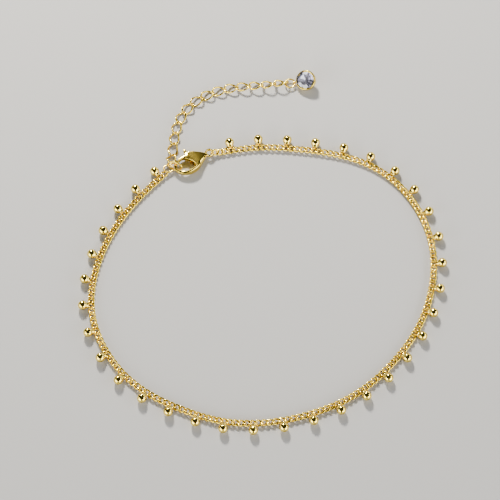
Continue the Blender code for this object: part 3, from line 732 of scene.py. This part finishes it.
# %% [markdown]
# ## Rounded sections
#
# Each section is a rectangle with round corners. Along the clasp it gets thinner, which bends its wide top. A
# single long face would twist there and show a diagonal crease, so the top and the bottom of each section get
# points of their own, and the taper is averaged over a short window.


# %% Curves and sections
def closed_curve(points, samples):
    """A Catmull-Rom curve round a closed list of points, at equal steps of length."""
    p = np.asarray(points, float)
    t = np.linspace(0, 1, 24, endpoint=False)[:, None]
    a, b, c, d = (np.roll(p, shift, 0)[:, None, :] for shift in (1, 0, -1, -2))
    line = 2 * b + (c - a) * t + (2 * a - 5 * b + 4 * c - d) * t ** 2 + (3 * b - a - 3 * c + d) * t ** 3
    line = 0.5 * line.reshape(-1, 2)
    line = np.vstack((line, line[:1]))
    length = length_so_far(line)
    at = np.linspace(0, length[-1], samples, endpoint=False)
    return np.stack([np.interp(at, length, line[:, j]) for j in (0, 1)], axis=-1)


def rounded_section(inner, outer, low, high, inner_corner, outer_corner, arc=5):
    """A rectangle with round corners between two matched edges (n, 2), from low to high: each corner is a
    quarter circle about a point one corner's radius in from both sides."""
    across = outer - inner
    width = np.linalg.norm(across, axis=-1)
    way = across / width[:, None]
    outer_radius = np.minimum(outer_corner, np.minimum(width * 0.55, (high - low) * 0.48))
    inner_radius = np.minimum(inner_corner, np.minimum(width * 0.40, (high - low) * 0.48))
    turn = np.concatenate([np.linspace(q, q + math.pi / 2, arc) for q in np.arange(4) * math.pi / 2])
    quarter = np.repeat(np.arange(4), arc)
    side = np.array([1, -1, -1, 1])[quarter]
    top = np.array([1, 1, -1, -1])[quarter]
    radius = np.where(side > 0, outer_radius[:, None], inner_radius[:, None])
    u = side * (width[:, None] / 2 - radius) + radius * np.cos(turn)
    z = top * ((high - low)[:, None] / 2 - radius) + radius * np.sin(turn)
    middle = (inner + outer) / 2
    flat = middle[:, None, :] + u[..., None] * way[:, None, :]
    return np.concatenate((flat, (z + ((low + high) / 2)[:, None])[..., None]), axis=-1)


def with_flat_points(sections, arc, count):
    """Even steps along the top and the bottom of each section, between its corner arcs, so that these wide
    flats can follow a taper."""
    m = sections.shape[1]
    step = ((np.arange(count) + 1) / (count + 1))[None, :, None]
    pieces = []
    for quarter in range(4):
        end = (quarter + 1) * arc
        pieces.append(sections[:, end - arc:end])
        if quarter in (0, 2):
            pieces.append(sections[:, end - 1:end] * (1 - step) + sections[:, end % m:end % m + 1] * step)
    return np.concatenate(pieces, axis=1)


# %% [markdown]
# ## Joining and cutting solids
#
# The mouth, the lever's slot and the pin's bore are cut with Booleans, as they are in the solid model, since
# their edges run across the sections. A Boolean leaves long thin faces beside small ones, and plain smooth
# shading mottles there. Normals weighted by face area keep each wide flat flat, up to its rounded edge.


# %% Solid helpers
def swept_object(name, sections, closed=False):
    """Sections (n, m, 3) joined into one closed surface, with end caps unless it is a ring."""
    n, m = sections.shape[:2]
    faces = torus_faces(n, m) if closed else turned_faces(n, m)
    mesh = bpy.data.meshes.new(name)
    mesh.from_pydata(sections.reshape(-1, 3).tolist(), [], faces)
    bm = bmesh.new()
    bm.from_mesh(mesh)
    bmesh.ops.recalc_face_normals(bm, faces=bm.faces)
    bm.to_mesh(mesh)
    bm.free()
    return new_object(name, mesh)


def prism(name, outline, low, high):
    """A flat outline raised between two heights."""
    outline = np.asarray(outline, float)
    sections = np.stack([np.column_stack((outline, np.full(len(outline), z))) for z in (low, high)])
    return swept_object(name, sections)


def disc(name, radius, low, high, sides=24):
    """A round prism about the lever's pivot."""
    turn = (np.arange(sides) + 0.5) * 2 * math.pi / sides
    return prism(name, PIVOT + radius * np.column_stack((np.cos(turn), np.sin(turn))), low, high)


def combine(target, other, operation):
    """Applies one Boolean of two closed meshes and drops the second."""
    modifier = target.modifiers.new("combine", "BOOLEAN")
    modifier.operation = operation
    modifier.object = other
    modifier.solver = "EXACT"
    graph = bpy.context.evaluated_depsgraph_get()
    graph.update()
    made = bpy.data.meshes.new_from_object(target.evaluated_get(graph))
    target.modifiers.clear()
    target.data = made
    bpy.data.objects.remove(other)


def to_place(piece, material):
    """Millimetres in the clasp's own frame become metres in its place. Only hard corners stay sharp."""
    piece.data.transform(Matrix.Scale(MM, 4) @ CLASP)
    piece.data.materials.clear()
    piece.data.materials.append(material)
    piece.data.shade_smooth()
    piece.data.set_sharp_from_angle(angle=math.radians(40))
    weighted = piece.modifiers.new("flats_stay_flat", "WEIGHTED_NORMAL")
    weighted.keep_sharp = True
    weighted.weight = 100


# %% [markdown]
# ## Clasp body
#
# Pairing each point of the outline with the hole's edge at the same angle gives the sections. The spine's
# side is domed, so its corner is wide, and the lever's side keeps a crisp edge.

# %% Clasp body's sections
BODY_SECTIONS = 180
BODY_ARC = 9
BODY_FLAT = 8
HOLE_SAMPLES = 400
HOLE_CORNER = 0.16
LEVER_SIDE_CORNER = 0.22
SPINE_SIDE_CORNER = 0.95
CLASP_TAPER = [
    (0.0, 0.42), (0.10, 0.42), (0.20, 0.74), (0.36, 1.0), (0.56, 1.0), (0.70, 0.80), (0.83, 0.56),
    (0.93, 0.45), (1.0, 0.44),
]


def angle_about_hole(points):
    """The direction of each point (n, 2) from the hole's centre."""
    return np.arctan2(points[:, 1] - HOLE_CENTRE[1], points[:, 0] - HOLE_CENTRE[0])


def thickness_share(x):
    """The taper's share at x, averaged over a window 1 mm long, so that the top bends softly."""
    window = np.linspace(-0.5, 0.5, 9) / CLASP_REACH
    places, shares = zip(*CLASP_TAPER)
    return np.interp(x[..., None] / CLASP_REACH + window, places, shares).mean(axis=-1)


outline = closed_curve(np.array(CLASP_OUTLINE) * SHARES, BODY_SECTIONS)
hole = closed_curve(np.array(CLASP_HOLE) * SHARES, HOLE_SAMPLES)
angle = angle_about_hole(outline)
hole_angle = angle_about_hole(hole)
order = np.argsort(hole_angle)
hole_reach = np.linalg.norm(hole - HOLE_CENTRE, axis=1)
hole_radius = np.interp(angle, hole_angle[order], hole_reach[order], period=2 * math.pi)
hole_edge = HOLE_CENTRE + hole_radius[:, None] * np.column_stack((np.cos(angle), np.sin(angle)))
outer_corner = np.interp(outline[:, 1], [-1.2, 0.6], [LEVER_SIDE_CORNER, SPINE_SIDE_CORNER])
bottom = np.zeros(BODY_SECTIONS)
body_sections = rounded_section(hole_edge, outline, bottom, bottom + CLASP_THICKNESS, HOLE_CORNER,
                                outer_corner, BODY_ARC)
body_sections = with_flat_points(body_sections, BODY_ARC, BODY_FLAT)
share = thickness_share(body_sections[..., 0])
body_sections[..., 2] = MIDDLE + (body_sections[..., 2] - MIDDLE) * share
clasp = swept_object("lobster_clasp", body_sections, closed=True)
print(f"clasp body {BODY_SECTIONS} sections of {body_sections.shape[1]} points")

# %% [markdown]
# The mouth goes from the cheeks, which hold the lever's pin, to the claw's tip. The slot between the cheeks
# is as wide as the lever and a gap on each side. The pin and the eye are joined on last.

# %% Mouth, slot, pin and eye
BEYOND = 5.0
PIN_RADIUS = 0.3
PIN_INSET = 0.2
EYE_RADIUS = 0.81
EYE_WIRE = 0.5
EYE_HEIGHT_SHARE = 1.6
EYE_POINTS = 40
EYE_SIDES = 14


def from_cheek(along, up):
    """A cut's corner from the cheeks' front at the pivot's height, in shares of the lever's root radius."""
    return CHEEK_FRONT + along * ROOT_RADIUS, PIVOT[1] + up * ROOT_RADIUS


mouth = [(CHEEK_FRONT, -BEYOND), (CLAW_TIP, -BEYOND), (CLAW_TIP, HOLE_CENTRE[1] - 0.2 * CLASP_WIDTH),
         tuple(HOLE_CENTRE), from_cheek(0.5, 1.0), from_cheek(0.0, 0.3)]
combine(clasp, prism("mouth", mouth, -1, 3), "DIFFERENCE")
slot_half = LEVER_THICKNESS / 2 + LEVER_GAP
reach_back = ROOT_RADIUS + LEVER_GAP
slot_front, slot_top = from_cheek(1.4, 2.3)
lever_slot = [(PIVOT[0] - reach_back, -BEYOND), (slot_front, -BEYOND), (slot_front, slot_top),
              from_cheek(-0.1, 2.2), (PIVOT[0] - 0.6 * ROOT_RADIUS, PIVOT[1] + reach_back),
              (PIVOT[0] - reach_back, PIVOT[1] + 0.35 * ROOT_RADIUS)]
combine(clasp, prism("slot", lever_slot, MIDDLE - slot_half, MIDDLE + slot_half), "DIFFERENCE")
combine(clasp, disc("pin", PIN_RADIUS, PIN_INSET, CLASP_THICKNESS - PIN_INSET), "UNION")
eye_wire = ring_points(EYE_RADIUS, EYE_WIRE, Matrix.Translation((0, 0, MIDDLE)), EYE_POINTS, EYE_SIDES)
eye_wire[..., 2] = MIDDLE + (eye_wire[..., 2] - MIDDLE) * EYE_HEIGHT_SHARE
combine(clasp, swept_object("eye", eye_wire, closed=True), "UNION")
to_place(clasp, CAST_GOLD)
finish_piece(clasp, replaces=("clasp_body",))
print(f"clasp body {len(clasp.data.polygons)} faces")

# %% [markdown]
# ## Lever
#
# The lever is a stamped strip: a round root on the pin, an arm that closes the mouth up to the claw's tip,
# and a nub for the thumbnail. The arm is made from matched edges too, the clasp's outline on one side and the
# hole's edge on the other. The lever rides on its own body, so that it turns in the slot.

# %% Lever's arm and root
ARM_ROWS = 30
ARM_START = PIVOT[0] + 0.34
ARM_END = CLAW_TIP - 0.15
ARM_INNER_CORNER = 0.14
ARM_OUTER_CORNER = 0.42
ROOT_HALF = 0.533

outer_curve = closed_curve(np.array(CLASP_OUTLINE) * SHARES, 600)
outer_curve = outer_curve[outer_curve[:, 1] < 0]
order = np.argsort(outer_curve[:, 0])
arm_x = np.linspace(ARM_START, ARM_END, ARM_ROWS)
outer_y = np.interp(arm_x, outer_curve[order, 0], outer_curve[order, 1]) + LEVER_GAP / 2
first_row, last_row = np.array(CLASP_HOLE)[[0, HOLE_LEVER_ROWS - 1]] * SHARES
by_lever = hole[(hole[:, 0] > last_row[0]) & (hole[:, 0] < first_row[0]) & (hole[:, 1] < HOLE_CENTRE[1])]
order = np.argsort(by_lever[:, 0])
inner_y = np.interp(arm_x, by_lever[order, 0], by_lever[order, 1])
inner_y = np.minimum(inner_y, PIVOT[1] + 0.65 * ROOT_RADIUS)
# The tip's last row is drawn in a little on both sides.
inner_y[-1] -= 0.10
outer_y[-1] += 0.16
low = np.full(ARM_ROWS, MIDDLE - LEVER_THICKNESS / 2)
arm = rounded_section(np.column_stack((arm_x, inner_y)), np.column_stack((arm_x, outer_y)), low,
                      low + LEVER_THICKNESS, ARM_INNER_CORNER, ARM_OUTER_CORNER)
lever = swept_object("clasp_thumb_lever", arm)
combine(lever, disc("root", ROOT_RADIUS, MIDDLE - ROOT_HALF, MIDDLE + ROOT_HALF), "UNION")
print(f"lever arm {ARM_END - ARM_START:.2f} mm")

# %% Lever's nub and bore
NUB_CORNER = 0.16
BORE_RADIUS = 0.35
# The nub's rows: height from the arm's outer edge, and where it starts and ends along the arm.
NUB_ROWS = [
    (0.45, 0.0, 0.67), (-0.55, 0.0, 0.67), (-0.95, 0.02, 0.60), (-1.18, 0.05, 0.60), (-1.33, 0.16, 0.50),
]

nub_x = ARM_START + 0.2
nub_base = float(np.interp(nub_x, arm_x, outer_y))
nub_y, nub_from, nub_to = np.array(NUB_ROWS).T
nub_in = np.column_stack((nub_x + nub_from, nub_base + nub_y))
nub_out = np.column_stack((nub_x + nub_to, nub_base + nub_y))
nub_low = np.full(len(NUB_ROWS), 0.50)
nub_low[-1] += 0.12
nub = rounded_section(nub_in, nub_out, nub_low, CLASP_THICKNESS - nub_low, NUB_CORNER, NUB_CORNER)
combine(lever, swept_object("nub", nub), "UNION")
combine(lever, disc("bore", BORE_RADIUS, -1, 3), "DIFFERENCE")
to_place(lever, CAST_GOLD)
finish_piece(lever, "lever", ("clasp_lever",))
print(f"lever {len(lever.data.polygons)} faces")

# %% [markdown]
# ## Floor
#
# The anklet lies on a plain pale surface. It is matt card, made by pressing pulp, so it has one even colour
# and no shine. Its top is a hair below the lowest wire, so that the two never share a plane.

# %% Pale card
FLOOR_SIZE = 1.2
FLOOR_DROP = 0.02 * MM

floor_mesh = bpy.data.meshes.new("floor")
corners = np.array([(-1, -1, 0), (1, -1, 0), (1, 1, 0), (-1, 1, 0)]) * FLOOR_SIZE
corners[:, 2] = -FLOOR_DROP
floor_mesh.from_pydata(corners.tolist(), [], [(0, 1, 2, 3)])
floor = new_object("floor", floor_mesh)
floor_mesh.materials.append(plain_material("matt_pale_card", "#A8A7A5", Roughness=0.9))
print(f"floor {2 * FLOOR_SIZE} m wide")

# %% [markdown]
# ## Light
#
# A small key light stands near, behind the anklet and a little to the left. Its height sets the length of
# each ball's shadow, and since it is near, the shadows fan out. A soft panel round it fills the shadows.
# Polished metal shows what is round it, so low panels behind, at the sides and in front draw the long
# highlights, and the dark room between them gives the metal its depth.

# %% Lights
world = bpy.data.worlds.new("dark_room")
world.use_nodes = True
background = world.node_tree.nodes["Background"]
background.inputs["Color"].default_value = linear("#55565C")
background.inputs["Strength"].default_value = 0.45
bpy.context.scene.world = world


def panel(name, azimuth, elevation, distance, width, height, power, colour="#FFFFFF"):
    """A soft panel that faces the anklet: azimuth from +Y towards -X and elevation above the floor in
    degrees, distance and sizes in metres, and power in watts."""
    a = math.radians(azimuth)
    e = math.radians(elevation)
    spot = Vector((-math.sin(a) * math.cos(e), math.cos(a) * math.cos(e), math.sin(e))) * distance
    light = bpy.data.lights.new(name, "AREA")
    light.shape = "RECTANGLE"
    light.size = width
    light.size_y = height
    light.energy = power
    light.color = linear(colour)[:3]
    lamp = new_object(name, light)
    lamp.location = spot
    lamp.rotation_euler = (-spot).to_track_quat("-Z", "Y").to_euler()


panel("key_back_left", 13, 36.6, 0.47, 0.06, 0.06, 6.2, "#FFFAF0")
panel("soft_back_left", 22, 41, 0.8, 0.34, 0.22, 2.2)
panel("low_back_right", -34, 12, 0.8, 0.45, 0.18, 0.9)
panel("side_right", -86, 27, 0.8, 0.36, 0.26, 2.6)
panel("side_left", 92, 22, 0.8, 0.28, 0.20, 0.9)
panel("front_left", 132, 16, 0.8, 0.80, 0.36, 8.6)
panel("front_right", -132, 16, 0.8, 0.80, 0.36, 8.6)
print("lights", len(bpy.data.lights))

# %% [markdown]
# ## Camera
#
# The camera looks down at 61.5 degrees from the front, with a long lens, as the photograph was taken. A long
# lens far away keeps the loop's far side nearly as large as its near one.

# %% Camera
ELEVATION = math.radians(61.5)
DISTANCE = 607.5
TARGET = Vector((-3.0, -0.3, 0.0))

camera_data = bpy.data.cameras.new("camera")
camera_data.sensor_width = 36
camera_data.sensor_height = 36
camera_data.lens = 194.4
camera_data.clip_start = 0.01
camera_data.clip_end = 10
camera = new_object("camera", camera_data)
camera.location = (TARGET + Vector((0, -math.cos(ELEVATION), math.sin(ELEVATION))) * DISTANCE) * MM
camera.rotation_euler = (math.pi / 2 - ELEVATION, 0, 0)
bpy.context.scene.camera = camera
print("camera at", [round(v, 3) for v in camera.location])
